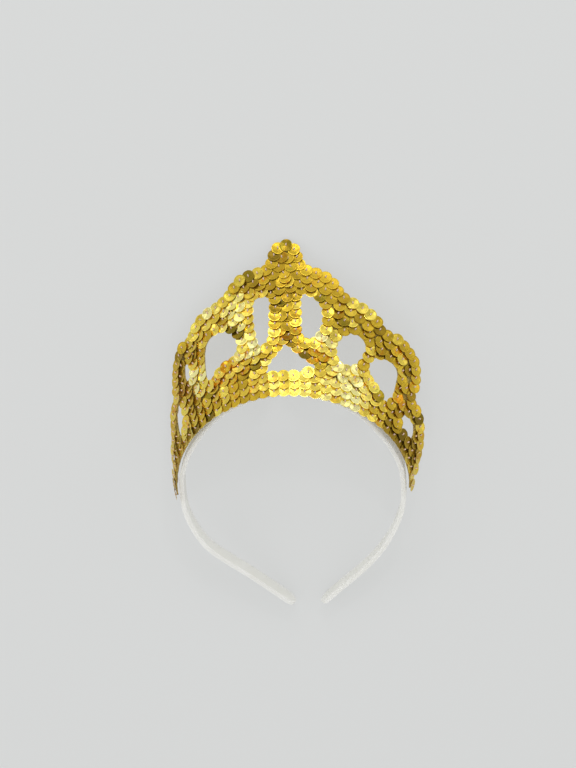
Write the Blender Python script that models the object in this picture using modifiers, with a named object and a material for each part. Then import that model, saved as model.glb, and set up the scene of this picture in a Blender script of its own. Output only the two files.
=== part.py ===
# Sequin tiara: an openwork wall of sequins on cloth, sewn along a plastic headband.
# Lengths are in millimetres and go to metres where the meshes are made. The model is drawn
# with the headband's hoop level, and the whole tiara is then tilted to lie on the floor.
import math

import bmesh
import bpy
from mathutils import Matrix
from mathutils import Vector
from mathutils.geometry import delaunay_2d_cdt

MM = 0.001

# Headband strip
STRIP_WIDTH = 10.0
STRIP_THICK = 2.4
STRIP_EDGE = 0.5
HOOP_DROP = 68.0

# Wall: it stands on a half ellipse and leans back from the hoop's plane
BASE_HALF_WIDTH = 57.9
BASE_RISE = 52.2
BASE_END_ANGLE = math.radians(98.0)
TIP_SPREAD = 1.05
TIP_DROP = 5.0
LEAN_ANGLE = math.radians(45.0)
FLARE_LEFT_RATIO = 0.20
FLARE_RIGHT_RATIO = 0.42
WALL_HEIGHT = 83.0

# Layers of the wall and the clearance between touching pieces
SEQUIN_LAYER = 1.4
CLOTH_THICK = 1.0
CLOTH_INSET = 0.8
GAP = 0.3

# Sequins along the edges
SEQUIN_DIAMETER = 6.5
SEQUIN_PITCH = 5.1
SCALLOP_DEPTH = 1.0
GAP_SCALLOP_DEPTH = 0.8
HEM_SCALLOP_DEPTH = 0.4

# From the wall's lower edge up to where the strip's front edge touches the cloth
SEAM_UP = 3.0

# Flat pattern of the wall. Across is a share of the length from the middle to a tip, along the
# lower edge, and up is a share of the wall's height above that edge, both in hundredths.
PEAK_SHARE = (0.0, 100.0)
OUTLINE_RIGHT_SHARES = [
    (5.0, 98.4), (8.9, 94.6), (9.9, 89.6), (11.8, 85.0), (16.3, 83.4), (22.4, 81.6), (26.9, 78.0),
    (30.3, 72.6), (33.7, 69.4), (38.9, 68.2), (45.0, 65.0), (49.5, 61.0), (51.4, 57.0), (55.8, 58.5),
    (60.8, 56.9), (65.4, 54.7), (69.2, 52.1), (72.4, 47.4), (74.3, 40.8), (74.5, 35.0), (74.8, 30.8),
    (78.1, 30.4), (82.5, 28.8), (86.5, 25.9), (90.1, 23.0), (92.8, 18.9), (95.0, 14.5), (97.1, 9.9),
    (99.0, 6.2)]
OUTLINE_LEFT_SHARES = [
    (-5.0, 98.4), (-8.7, 95.0), (-9.9, 89.4), (-12.5, 84.9), (-20.4, 83.8), (-26.0, 82.6),
    (-30.3, 79.8), (-33.8, 74.3), (-39.4, 71.3), (-48.1, 69.5), (-53.4, 66.3), (-55.6, 62.8),
    (-57.0, 60.0), (-60.1, 61.1), (-63.7, 59.9), (-68.9, 54.3), (-72.4, 44.7), (-73.6, 34.9),
    (-74.3, 31.7), (-77.6, 28.6), (-81.0, 22.6), (-83.7, 16.9), (-86.8, 11.6), (-90.9, 8.1),
    (-95.4, 6.3), (-99.0, 5.2)]
GAP_SHARES = {
    "centre": [
        (0.4, 33.2), (5.0, 29.2), (10.4, 24.6), (15.4, 21.6), (18.4, 19.6), (13.0, 17.9), (3.6, 17.0),
        (-6.0, 17.0), (-10.6, 17.8), (-9.2, 21.4), (-6.2, 25.6), (-2.7, 30.2)],
    "arch_right": [
        (9.6, 64.8), (13.0, 65.1), (17.1, 62.5), (20.0, 56.0), (20.2, 47.6), (18.0, 41.7), (14.9, 37.6),
        (11.5, 38.0), (9.6, 41.4), (9.4, 52.2)],
    "arch_left": [
        (-9.4, 63.8), (-16.8, 64.2), (-18.4, 58.2), (-18.1, 49.7), (-17.1, 41.1), (-15.6, 35.1),
        (-13.5, 32.4), (-11.1, 34.8), (-9.5, 40.2), (-9.1, 52.2)],
    "ring_right": [
        (29.1, 38.1), (32.2, 44.0), (36.8, 46.6), (41.1, 44.2), (42.5, 38.2), (41.6, 32.1), (37.3, 27.2),
        (32.0, 26.5), (29.1, 31.1)],
    "ring_left": [
        (-35.6, 50.5), (-30.5, 45.7), (-27.9, 39.2), (-29.3, 33.8), (-34.1, 31.8), (-39.9, 30.0),
        (-43.5, 26.5), (-46.4, 24.7), (-47.6, 31.0), (-47.4, 41.3), (-45.9, 48.2), (-41.8, 51.2)],
    "side_right": [
        (45.9, 33.5), (49.8, 37.7), (55.8, 39.2), (60.1, 36.3), (61.1, 28.3), (61.1, 21.1), (58.7, 18.2),
        (55.3, 20.7), (51.4, 24.5), (47.1, 27.7)],
    "side_left": [
        (-59.2, 45.5), (-61.0, 45.8), (-61.9, 42.0), (-61.7, 37.5), (-60.2, 34.6), (-58.8, 36.5),
        (-58.3, 41.0)],
    "end_right": [
        (69.6, 15.2), (72.4, 18.0), (76.2, 19.2), (79.4, 18.2), (81.2, 15.0), (80.6, 11.6), (77.4, 11.8),
        (73.4, 13.2)],
    "end_left": [
        (-69.7, 28.6), (-68.0, 21.3), (-69.2, 14.1), (-72.4, 10.4), (-74.5, 16.2), (-73.6, 25.4)],
}

# Outer line of the headband below the wall: shares of the base's half width and of HOOP_DROP
HOOP_LEFT_SHARES = [
    (97.2, -15.4), (90.8, -33.1), (79.4, -49.4), (63.2, -61.5), (44.9, -73.2), (25.6, -86.6),
    (6.7, -100.0)]
HOOP_RIGHT_SHARES = [
    (97.2, -15.4), (90.8, -33.1), (80.0, -50.0), (66.3, -64.6), (50.8, -77.1), (34.9, -88.5),
    (19.7, -100.0)]

# Fineness of the meshes
STRIP_SLICE = 4.0
CLOTH_CELL = 5.0
SEQUIN_CELL = 5.5
CLOTH_STEP = 2.4
ARC_STEPS = 4
BASE_STEPS = 400


# The wall's surface
def base_point(phi):
    across = BASE_HALF_WIDTH * math.sin(phi) + TIP_SPREAD * math.sin(phi) ** 9
    return Vector((across, BASE_RISE * math.cos(phi), -TIP_DROP * math.sin(phi) ** 4))


def generator(phi):
    flare = FLARE_RIGHT_RATIO if phi > 0.0 else -FLARE_LEFT_RATIO
    return Vector((flare * math.sin(phi) ** 2, math.cos(LEAN_ANGLE), -math.sin(LEAN_ANGLE)))


def base_table():
    # Length along the lower edge, seen along the wall's lean, the angle, and the edge's height
    upward = generator(0.0)
    crest = base_point(0.0)
    rows = [(0.0, 0.0, 0.0)]
    across = 0.0
    before = crest
    for step in range(1, BASE_STEPS + 1):
        phi = BASE_END_ANGLE * step / BASE_STEPS
        here = base_point(phi)
        move = here - before
        along = move.dot(upward)
        across += math.sqrt(max(0.0, move.length_squared - along * along))
        rows.append((across, phi, (here - crest).dot(upward)))
        before = here
    return rows


BASE_ROWS = base_table()
BASE_LENGTH = BASE_ROWS[-1][0]


def base_at(across):
    # Angle along the base, and height of the lower edge in the flat pattern
    target = abs(across)
    low = 0
    high = len(BASE_ROWS) - 1
    while high - low > 1:
        mid = (low + high) // 2
        if BASE_ROWS[mid][0] > target:
            high = mid
        else:
            low = mid
    first = BASE_ROWS[low]
    second = BASE_ROWS[high]
    share = (target - first[0]) / (second[0] - first[0])
    phi = first[1] + share * (second[1] - first[1])
    edge = first[2] + share * (second[2] - first[2])
    return math.copysign(phi, across), edge


def wall_frame(phi, height):
    point = base_point(phi) + height * generator(phi)
    step = 0.002
    if abs(phi) <= step:
        tangent = Vector((1.0, 0.0, 0.0))
    else:
        ahead = base_point(phi + step) + height * generator(phi + step)
        back = base_point(phi - step) + height * generator(phi - step)
        tangent = (ahead - back).normalized()
    return point, tangent.cross(generator(phi)).normalized()


def wall_point(across, up, offset):
    # A point of the flat pattern, bent on to the wall and moved off its middle
    phi, edge = base_at(across)
    point, front = wall_frame(phi, up - edge)
    return point + offset * front


def from_shares(shares):
    points = []
    for across_share, up_share in shares:
        across = 0.01 * across_share * BASE_LENGTH
        points.append((across, base_at(across)[1] + 0.01 * up_share * WALL_HEIGHT))
    return points


# Smooth lines
def spline_piece(before, here, ahead, beyond, steps):
    piece = []
    for step in range(steps):
        t = step / steps
        piece.append(0.5 * (2.0 * here + (ahead - before) * t
                            + (2.0 * before - 5.0 * here + 4.0 * ahead - beyond) * t * t
                            + (3.0 * here - before - 3.0 * ahead + beyond) * t * t * t))
    return piece


def even_steps(line, spacing, closed):
    chain = list(line)
    if closed:
        chain.append(line[0])
    lengths = [0.0]
    for index in range(1, len(chain)):
        lengths.append(lengths[-1] + (chain[index] - chain[index - 1]).length)
    total = lengths[-1]
    count = max(3, round(total / spacing))
    result = []
    spot = 0
    for number in range(count if closed else count + 1):
        target = total * number / count
        while spot < len(lengths) - 2 and lengths[spot + 1] < target:
            spot += 1
        span = lengths[spot + 1] - lengths[spot]
        share = 0.0 if span == 0.0 else (target - lengths[spot]) / span
        result.append(chain[spot].lerp(chain[spot + 1], min(1.0, share)))
    return result


def smooth_loop(points, spacing):
    corners = [Vector(point) for point in points]
    count = len(corners)
    line = []
    for index in range(count):
        line.extend(spline_piece(corners[index - 1], corners[index], corners[(index + 1) % count],
                                 corners[(index + 2) % count], 12))
    return even_steps(line, spacing, True)


def smooth_path(points, spacing):
    corners = [Vector(point) for point in points]
    chain = [2.0 * corners[0] - corners[1]] + corners + [2.0 * corners[-1] - corners[-2]]
    line = []
    for index in range(1, len(chain) - 2):
        line.extend(spline_piece(chain[index - 1], chain[index], chain[index + 1], chain[index + 2], 12))
    line.append(corners[-1])
    return even_steps(line, spacing, False)


def right_hand(line, index, closed):
    # Square to the line, on its right-hand side
    if closed:
        ahead = line[(index + 1) % len(line)]
        back = line[index - 1]
    else:
        ahead = line[min(index + 1, len(line) - 1)]
        back = line[max(index - 1, 0)]
    move = (ahead - back).normalized()
    return Vector((move.y, -move.x))


def shifted(line, closed, distance):
    return [line[index] + distance * right_hand(line, index, closed) for index in range(len(line))]


def loop_area(loop):
    total = 0.0
    for index in range(len(loop)):
        total += loop[index - 1].x * loop[index].y - loop[index].x * loop[index - 1].y
    return 0.5 * total


# Outlines of the wall
def scallop(line, closed, depth):
    # Each sequin of the edge row shows as an arc, and between two of them the edge steps in
    radius = 0.5 * SEQUIN_DIAMETER
    count = len(line) if closed else len(line) - 1
    result = []
    for index in range(count):
        following = (index + 1) % len(line)
        here = line[index]
        ahead = line[following]
        chord = min((ahead - here).length, 0.96 * SEQUIN_DIAMETER)
        full = radius - math.sqrt(radius * radius - 0.25 * chord * chord)
        for step in range(ARC_STEPS):
            share = step / ARC_STEPS
            reach = (share - 0.5) * chord
            drop = radius - math.sqrt(radius * radius - reach * reach)
            side = right_hand(line, index, closed).lerp(right_hand(line, following, closed), share)
            result.append(here.lerp(ahead, share) + side * depth * drop / full)
    if not closed:
        result.append(line[-1] + depth * right_hand(line, len(line) - 1, False))
    return result


def hem(spacing, lift, right_end, left_end):
    # Lower edge of the wall, from the right tip to the left tip
    line = []
    for number in range(BASE_STEPS + 1):
        across = right_end - (right_end + left_end) * number / BASE_STEPS
        line.append(Vector((across, base_at(across)[1] + lift)))
    return even_steps(line, spacing, False)


def wall_outlines(scalloped):
    # The outer line first, then the gaps. The cloth stays a little inside the sequins' edge.
    chain = from_shares(list(reversed(OUTLINE_LEFT_SHARES)) + [PEAK_SHARE] + OUTLINE_RIGHT_SHARES)
    right_end = chain[-1][0]
    left_end = -chain[0][0]
    if scalloped:
        top = scallop(smooth_path(chain, SEQUIN_PITCH), False, SCALLOP_DEPTH)
        bottom = scallop(hem(SEQUIN_PITCH, 0.0, right_end, left_end), False, HEM_SCALLOP_DEPTH)
    else:
        top = shifted(smooth_path(chain, CLOTH_STEP), False, CLOTH_INSET)
        bottom = hem(CLOTH_STEP, CLOTH_INSET, right_end - CLOTH_INSET, left_end - CLOTH_INSET)
    loops = [top + bottom]
    for shares in GAP_SHARES.values():
        loop = smooth_loop(from_shares(shares), SEQUIN_PITCH if scalloped else CLOTH_STEP)
        if loop_area(loop) < 0.0:
            loop.reverse()
        if scalloped:
            loops.append(scallop(loop, True, GAP_SCALLOP_DEPTH))
        else:
            loops.append(shifted(loop, True, CLOTH_INSET))
    return loops


def inside(point, loop):
    crossed = False
    for index in range(len(loop)):
        here = loop[index]
        before = loop[index - 1]
        if (here.y > point.y) != (before.y > point.y):
            cut = (before.x - here.x) * (point.y - here.y) / (before.y - here.y) + here.x
            if point.x < cut:
                crossed = not crossed
    return crossed


def on_pattern(point, loops):
    return inside(point, loops[0]) and not any(inside(point, loop) for loop in loops[1:])


def nearest_corner(point, loops):
    return min((corner - point).length for loop in loops for corner in loop)


def flat_surface(loops, cell):
    # The pattern as a flat open surface, with inner points so that it can bend
    points = []
    edges = []
    for loop in loops:
        start = len(points)
        points.extend(loop)
        for index in range(len(loop)):
            edges.append((start + index, start + (index + 1) % len(loop)))
    low_x = min(point.x for point in loops[0])
    low_y = min(point.y for point in loops[0])
    columns = int((max(point.x for point in loops[0]) - low_x) / cell) + 1
    rows = int((max(point.y for point in loops[0]) - low_y) / cell) + 1
    for column in range(columns):
        for row in range(rows):
            spot = Vector((low_x + column * cell, low_y + (row + 0.5 * (column % 2)) * cell))
            if on_pattern(spot, loops) and nearest_corner(spot, loops) > 0.62 * cell:
                points.append(spot)
    found, _, faces, _, _, _ = delaunay_2d_cdt(points, edges, [], 0, 1e-4)
    surface = bmesh.new()
    corners = [surface.verts.new((spot.x, spot.y, 0.0)) for spot in found]
    for face in faces:
        middle = (found[face[0]] + found[face[1]] + found[face[2]]) / 3.0
        if on_pattern(middle, loops):
            surface.faces.new([corners[number] for number in face])
    unused = [vert for vert in surface.verts if not vert.link_faces]
    bmesh.ops.delete(surface, geom=unused, context="VERTS")
    return surface


def keep_half(surface, side):
    # Cuts the pattern beside its middle line and keeps one half
    geometry = surface.verts[:] + surface.edges[:] + surface.faces[:]
    bmesh.ops.bisect_plane(surface, geom=geometry, dist=1e-5, plane_co=(side * 0.5 * GAP, 0.0, 0.0),
                           plane_no=(-side, 0.0, 0.0), clear_outer=True)
    bmesh.ops.triangulate(surface, faces=surface.faces[:])


def bend_wall(surface, offset):
    for face in surface.faces:
        if face.normal.z < 0.0:
            face.normal_flip()
    for vert in surface.verts:
        vert.co = MM * wall_point(vert.co.x, vert.co.y, offset)


# The headband follows the back of the cloth, then runs on below the wall
CLOTH_BACK = 0.5 * SEQUIN_LAYER + GAP + CLOTH_THICK


def seam_level():
    return -SEAM_UP * math.sin(LEAN_ANGLE) - (CLOTH_BACK + GAP) * math.cos(LEAN_ANGLE)


def seam_point(phi):
    # Where the back of the cloth, less the clearance, meets the strip's front edge
    low = 0.0
    high = 8.0 * SEAM_UP
    for _ in range(40):
        mid = 0.5 * (low + high)
        point, front = wall_frame(phi, mid)
        if (point - (CLOTH_BACK + GAP) * front).z > seam_level():
            low = mid
        else:
            high = mid
    point, front = wall_frame(phi, low)
    return point - (CLOTH_BACK + GAP) * front


def hoop_line():
    # Outer line of the strip, from its left end over the top to its right end
    left = []
    for across, up in reversed(HOOP_LEFT_SHARES):
        left.append((-0.01 * across * BASE_HALF_WIDTH, 0.01 * up * HOOP_DROP))
    top = []
    for step in range(-14, 15):
        point = seam_point(math.radians(6.0 * step))
        top.append((point.x, point.y))
    right = []
    for across, up in HOOP_RIGHT_SHARES:
        right.append((0.01 * across * BASE_HALF_WIDTH, 0.01 * up * HOOP_DROP))
    return smooth_path(left + top + right, 0.5 * STRIP_SLICE)


def line_length(line):
    return sum((line[index] - line[index - 1]).length for index in range(1, len(line)))


def flat_strip(length):
    # A round-ended strip, lying straight along X, filled and given its thickness
    outline = []
    radius = 0.5 * STRIP_WIDTH
    for end in (1.0, -1.0):
        for step in range(13):
            angle = math.pi * step / 12.0
            outline.append((end * (0.5 * length - radius + radius * math.sin(angle)),
                            end * radius * math.cos(angle)))
    curve = bpy.data.curves.new("strip_outline", "CURVE")
    curve.dimensions = "2D"
    curve.fill_mode = "BOTH"
    curve.extrude = 0.5 * STRIP_THICK
    spline = curve.splines.new("POLY")
    spline.points.add(len(outline) - 1)
    for index, (across, up) in enumerate(outline):
        spline.points[index].co = (across, up, 0.0, 1.0)
    spline.use_cyclic_u = True
    guide = bpy.data.objects.new("strip_outline", curve)
    bpy.context.scene.collection.objects.link(guide)
    graph = bpy.context.evaluated_depsgraph_get()
    mesh = bpy.data.meshes.new_from_object(guide.evaluated_get(graph))
    bpy.data.objects.remove(guide)
    strip = bmesh.new()
    strip.from_mesh(mesh)
    bpy.data.meshes.remove(mesh)
    bmesh.ops.remove_doubles(strip, verts=strip.verts[:], dist=0.01)
    bmesh.ops.dissolve_limit(strip, angle_limit=0.01, verts=strip.verts[:], edges=strip.edges[:])
    straight = length - STRIP_WIDTH
    slices = round(straight / STRIP_SLICE)
    for number in range(slices + 1):
        geometry = strip.verts[:] + strip.edges[:] + strip.faces[:]
        bmesh.ops.bisect_plane(strip, geom=geometry, dist=0.01,
                               plane_co=((number / slices - 0.5) * straight, 0.0, 0.0),
                               plane_no=(1.0, 0.0, 0.0))
    bmesh.ops.recalc_face_normals(strip, faces=strip.faces[:])
    return strip


def bend_strip(strip, line):
    # The strip's middle lies half its thickness inside the line and half its width behind the seam
    lengths = [0.0]
    for index in range(1, len(line)):
        lengths.append(lengths[-1] + (line[index] - line[index - 1]).length)
    for vert in strip.verts:
        station = min(max(vert.co.x + 0.5 * lengths[-1], 0.0), lengths[-1])
        spot = 0
        while spot < len(lengths) - 2 and lengths[spot + 1] < station:
            spot += 1
        share = (station - lengths[spot]) / (lengths[spot + 1] - lengths[spot])
        place = line[spot].lerp(line[spot + 1], share)
        inward = right_hand(line, spot, False).lerp(right_hand(line, spot + 1, False), share)
        inward.normalize()
        place = place + inward * (0.5 * STRIP_THICK + vert.co.z)
        level = seam_level() - 0.5 * STRIP_WIDTH + vert.co.y
        vert.co = MM * Vector((place.x, place.y, level))


# Objects
def plain_material(name, colour, roughness, metallic):
    material = bpy.data.materials.new(name)
    material.use_nodes = True
    shader = material.node_tree.nodes["Principled BSDF"]
    shader.inputs["Base Color"].default_value = (colour[0], colour[1], colour[2], 1.0)
    shader.inputs["Roughness"].default_value = roughness
    shader.inputs["Metallic"].default_value = metallic
    material.diffuse_color = (colour[0], colour[1], colour[2], 1.0)
    return material


def add_object(name, shape, material, collection, parent):
    mesh = bpy.data.meshes.new(name)
    shape.to_mesh(mesh)
    shape.free()
    mesh.shade_smooth()
    mesh.set_sharp_from_angle(angle=math.radians(35.0))
    mesh.materials.append(material)
    thing = bpy.data.objects.new(name, mesh)
    thing.parent = parent
    collection.objects.link(thing)
    return thing


def thicken(thing, thickness):
    modifier = thing.modifiers.new("thickness", "SOLIDIFY")
    modifier.thickness = thickness * MM
    modifier.offset = 0.0


def evaluated_corners(thing):
    graph = bpy.context.evaluated_depsgraph_get()
    shown = thing.evaluated_get(graph)
    mesh = shown.to_mesh()
    corners = [vert.co.copy() for vert in mesh.vertices]
    shown.to_mesh_clear()
    return corners


def lay_down(frame, things):
    # Lying by itself, the tiara rests on the ends of its strip and on the tip of its peak
    corners = {thing.name: evaluated_corners(thing) for thing in things}
    low = math.radians(-10.0)
    high = math.radians(50.0)
    for _ in range(40):
        tilt = 0.5 * (low + high)
        turn = Matrix.Rotation(tilt, 3, "X")
        wall_low = min((turn @ corner).z for corner in corners["backing"])
        strip_low = min((turn @ corner).z for corner in corners["headband"])
        if wall_low > strip_low:
            high = tilt
        else:
            low = tilt
    turned = [turn @ corner for group in corners.values() for corner in group]
    frame.rotation_euler = (tilt, 0.0, 0.0)
    frame.location = (-0.5 * (min(corner.x for corner in turned) + max(corner.x for corner in turned)),
                      -0.5 * (min(corner.y for corner in turned) + max(corner.y for corner in turned)),
                      -min(corner.z for corner in turned))


for old in list(bpy.data.objects):
    bpy.data.objects.remove(old)
tiara = bpy.data.collections.new("sequin_tiara")
bpy.context.scene.collection.children.link(tiara)
pose = bpy.data.objects.new("pose", None)
tiara.objects.link(pose)

# Headband: a moulded plastic strip, bent to an open hoop
hoop = hoop_line()
strip_shape = flat_strip(line_length(hoop))
bend_strip(strip_shape, hoop)
white_plastic = plain_material("white_plastic", (0.72, 0.72, 0.69), 0.42, 0.0)
headband = add_object("headband", strip_shape, white_plastic, tiara, pose)
edges = headband.modifiers.new("edges", "BEVEL")
edges.width = STRIP_EDGE * MM
edges.segments = 2
edges.limit_method = "ANGLE"
edges.angle_limit = math.radians(40.0)

# Backing: the stiff cloth that the sequins are sewn to, with nine gaps cut through
cloth_shape = flat_surface(wall_outlines(False), CLOTH_CELL)
bend_wall(cloth_shape, -CLOTH_BACK + 0.5 * CLOTH_THICK)
gold_cloth = plain_material("gold_cloth", (0.42, 0.30, 0.08), 0.85, 0.0)
backing = add_object("backing", cloth_shape, gold_cloth, tiara, pose)
thicken(backing, CLOTH_THICK)

# Sequins: the layer of overlapping discs, in two halves that meet at the middle line
halves = []
for name, side in (("sequins_left", -1.0), ("sequins_right", 1.0)):
    layer_shape = flat_surface(wall_outlines(True), SEQUIN_CELL)
    keep_half(layer_shape, side)
    bend_wall(layer_shape, 0.0)
    gold = plain_material("gold_" + name, (0.80, 0.58, 0.10), 0.32, 0.85)
    half = add_object(name, layer_shape, gold, tiara, pose)
    thicken(half, SEQUIN_LAYER)
    halves.append(half)

lay_down(pose, [headband, backing] + halves)
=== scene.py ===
import math
import random

import bpy
import numpy as np
from mathutils import Matrix, Vector
from mathutils.geometry import delaunay_2d_cdt


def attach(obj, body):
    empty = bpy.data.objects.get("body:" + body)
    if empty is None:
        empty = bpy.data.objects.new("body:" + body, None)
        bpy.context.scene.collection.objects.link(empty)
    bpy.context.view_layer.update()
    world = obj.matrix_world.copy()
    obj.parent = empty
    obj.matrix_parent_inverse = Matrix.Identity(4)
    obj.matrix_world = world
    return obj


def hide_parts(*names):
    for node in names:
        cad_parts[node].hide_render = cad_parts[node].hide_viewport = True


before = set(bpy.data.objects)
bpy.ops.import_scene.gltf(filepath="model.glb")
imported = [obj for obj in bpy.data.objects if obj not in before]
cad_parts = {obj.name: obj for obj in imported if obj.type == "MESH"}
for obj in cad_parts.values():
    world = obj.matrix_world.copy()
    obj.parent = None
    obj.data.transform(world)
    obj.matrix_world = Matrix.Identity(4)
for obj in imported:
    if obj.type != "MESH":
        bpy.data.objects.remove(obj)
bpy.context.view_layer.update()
MM = 0.001

# Camera
# It looks down on the lying tiara from a long way off, a little from the right, and leans a
# little to one side, so that the picture shows 0.5 mm to a pixel.
CAMERA_PITCH = math.radians(10.5)
CAMERA_YAW = math.radians(5.0)
CAMERA_ROLL = math.radians(1.8)
CAMERA_DISTANCE = 2.4
PICTURE_HEIGHT = 0.384
PICTURE_CENTRE = Vector((-6.15, 19.15, 20.0)) * MM

turn = (Matrix.Rotation(CAMERA_ROLL, 3, "Z") @ Matrix.Rotation(-CAMERA_YAW, 3, "Y")
        @ Matrix.Rotation(CAMERA_PITCH, 3, "X"))
facing = turn.transposed()
camera = bpy.data.objects.new("camera", bpy.data.cameras.new("camera"))
camera.data.lens = camera.data.sensor_width * CAMERA_DISTANCE / PICTURE_HEIGHT
camera.data.clip_end = 20.0
place = facing @ (PICTURE_CENTRE + Vector((0.0, 0.0, CAMERA_DISTANCE)))
camera.matrix_world = Matrix.Translation(place) @ facing.to_4x4()
bpy.context.scene.collection.objects.link(camera)
bpy.context.scene.camera = camera
bpy.context.scene.view_settings.view_transform = "Standard"

# Cloth backing
# A stiff woven cloth in dull gold, cut to the tiara's openwork outline and bent to a wall
# that leans back from the headband. Every sequin is sewn through it, and its lower margin
# is sewn along the front edge of the plastic strip.
REST_TILT = 0.257959
REST_PLACE = Vector((-0.003313, -0.029257, 0.029772))
BASE_HALF_WIDTH = 57.9
BASE_RISE = 52.2
BASE_END_ANGLE = math.radians(98.0)
TIP_SPREAD = 1.05
TIP_DROP = 5.0
LEAN_ANGLE = math.radians(45.0)
FLARE_LEFT_RATIO = 0.20
FLARE_RIGHT_RATIO = 0.42
WALL_HEIGHT = 83.0
CLOTH_MIDDLE = -1.4
CLOTH_THICK = 0.8
CLOTH_INSET = 1.0
HEM_INSET = 1.7
CLOTH_CELL = 2.6
CLOTH_STEP = 1.3
RIM_ROOM = 0.6 * CLOTH_CELL
CURVE_STEPS = 12
PUCKER = 0.12
PUCKER_WAVES = (1.3, 1.1)
TIP_START = 68.0
TIP_FULL = 79.0
TIP_CLOSER = 0.35

# Across and up in hundredths of half the lower edge and of the wall's height
PEAK_SHARE = (0.0, 100.0)
OUTLINE_RIGHT_SHARES = [
    (5.0, 98.4), (8.9, 94.6), (9.9, 89.6), (11.8, 85.0), (16.3, 83.4), (22.4, 81.6), (26.9, 78.0),
    (30.3, 72.6), (33.7, 69.4), (38.9, 68.2), (45.0, 65.0), (49.5, 61.0), (51.4, 57.0), (55.8, 58.5),
    (60.8, 56.9), (65.4, 54.7), (69.2, 52.1), (72.4, 47.4), (74.3, 40.8), (74.5, 35.0), (74.8, 30.8),
    (78.1, 30.4), (82.5, 28.8), (86.5, 25.9), (90.1, 23.0), (92.8, 18.9), (95.0, 14.5), (97.1, 9.9),
    (99.0, 6.2)]
OUTLINE_LEFT_SHARES = [
    (-5.0, 98.4), (-8.7, 95.0), (-9.9, 89.4), (-12.5, 84.9), (-20.4, 83.8), (-26.0, 82.6),
    (-30.3, 79.8), (-33.8, 74.3), (-39.4, 71.3), (-48.1, 69.5), (-53.4, 66.3), (-55.6, 62.8),
    (-57.0, 60.0), (-60.1, 61.1), (-63.7, 59.9), (-68.9, 54.3), (-72.4, 44.7), (-73.6, 34.9),
    (-74.3, 31.7), (-77.6, 28.6), (-81.0, 22.6), (-83.7, 16.9), (-86.8, 11.6), (-90.9, 8.1),
    (-95.4, 6.3), (-99.0, 5.2)]
GAP_SHARES = {
    "centre": [
        (0.4, 33.2), (5.0, 29.2), (10.4, 24.6), (15.4, 21.6), (18.4, 19.6), (13.0, 17.9), (3.6, 17.0),
        (-6.0, 17.0), (-10.6, 17.8), (-9.2, 21.4), (-6.2, 25.6), (-2.7, 30.2)],
    "arch_right": [
        (9.6, 64.8), (13.0, 65.1), (17.1, 62.5), (20.0, 56.0), (20.2, 47.6), (18.0, 41.7),
        (14.9, 37.6), (11.5, 38.0), (9.6, 41.4), (9.4, 52.2)],
    "arch_left": [
        (-9.4, 63.8), (-16.8, 64.2), (-18.4, 58.2), (-18.1, 49.7), (-17.1, 41.1), (-15.6, 35.1),
        (-13.5, 32.4), (-11.1, 34.8), (-9.5, 40.2), (-9.1, 52.2)],
    "ring_right": [
        (29.1, 38.1), (32.2, 44.0), (36.8, 46.6), (41.1, 44.2), (42.5, 38.2), (41.6, 32.1),
        (37.3, 27.2), (32.0, 26.5), (29.1, 31.1)],
    "ring_left": [
        (-35.6, 50.5), (-30.5, 45.7), (-27.9, 39.2), (-29.3, 33.8), (-34.1, 31.8), (-39.9, 30.0),
        (-43.5, 26.5), (-46.4, 24.7), (-47.6, 31.0), (-47.4, 41.3), (-45.9, 48.2), (-41.8, 51.2)],
    "side_right": [
        (45.9, 33.5), (49.8, 37.7), (55.8, 39.2), (60.1, 36.3), (61.1, 28.3), (61.1, 21.1),
        (58.7, 18.2), (55.3, 20.7), (51.4, 24.5), (47.1, 27.7)],
    "side_left": [
        (-59.2, 45.5), (-61.0, 45.8), (-61.9, 42.0), (-61.7, 37.5), (-60.2, 34.6), (-58.8, 36.5),
        (-58.3, 41.0)],
    "end_right": [
        (69.6, 15.2), (72.4, 18.0), (76.2, 19.2), (79.4, 18.2), (81.2, 15.0), (80.6, 11.6),
        (77.4, 11.8), (73.4, 13.2)],
    "end_left": [
        (-69.7, 28.6), (-68.0, 21.3), (-69.2, 14.1), (-72.4, 10.4), (-74.5, 16.2), (-73.6, 25.4)],
}


def base_point(phi):
    across = BASE_HALF_WIDTH * math.sin(phi) + TIP_SPREAD * math.sin(phi) ** 9
    return Vector((across, BASE_RISE * math.cos(phi), -TIP_DROP * math.sin(phi) ** 4))


def generator(phi):
    flare = FLARE_RIGHT_RATIO if phi > 0.0 else -FLARE_LEFT_RATIO
    return Vector((flare * math.sin(phi) ** 2, math.cos(LEAN_ANGLE), -math.sin(LEAN_ANGLE)))


# Length across the pattern, angle along the base and height of the pattern's lower edge
BASE_STEPS = 400
base_across = [0.0]
base_angle = [0.0]
base_edge = [0.0]
for number in range(1, BASE_STEPS + 1):
    angle = BASE_END_ANGLE * number / BASE_STEPS
    move = base_point(angle) - base_point(base_angle[-1])
    along = move.dot(generator(0.0))
    base_across.append(base_across[-1] + math.sqrt(max(0.0, move.length_squared - along ** 2)))
    base_angle.append(angle)
    base_edge.append((base_point(angle) - base_point(0.0)).dot(generator(0.0)))
HALF_LENGTH = base_across[-1]


def edge_height(across):
    return float(np.interp(abs(across), base_across, base_edge))


def wall_frame(across, up):
    # A point of the wall's middle, and the directions across, up and out to the front there
    across = float(across)
    up = float(up)
    phi = math.copysign(float(np.interp(abs(across), base_across, base_angle)), across)
    height = up - edge_height(across)
    upward = generator(phi)
    point = base_point(phi) + height * upward
    step = 0.004
    ahead = base_point(phi + step) + height * generator(phi + step)
    back = base_point(phi - step) + height * generator(phi - step)
    if abs(phi) <= step:
        along = Vector((1.0, 0.0, 0.0))
    else:
        along = (ahead - back).normalized()
    front = along.cross(upward).normalized()
    upward = front.cross(along).normalized()
    lie = Matrix.Rotation(REST_TILT, 3, "X")
    return REST_PLACE + lie @ point * MM, lie @ along, lie @ upward, lie @ front


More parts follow.
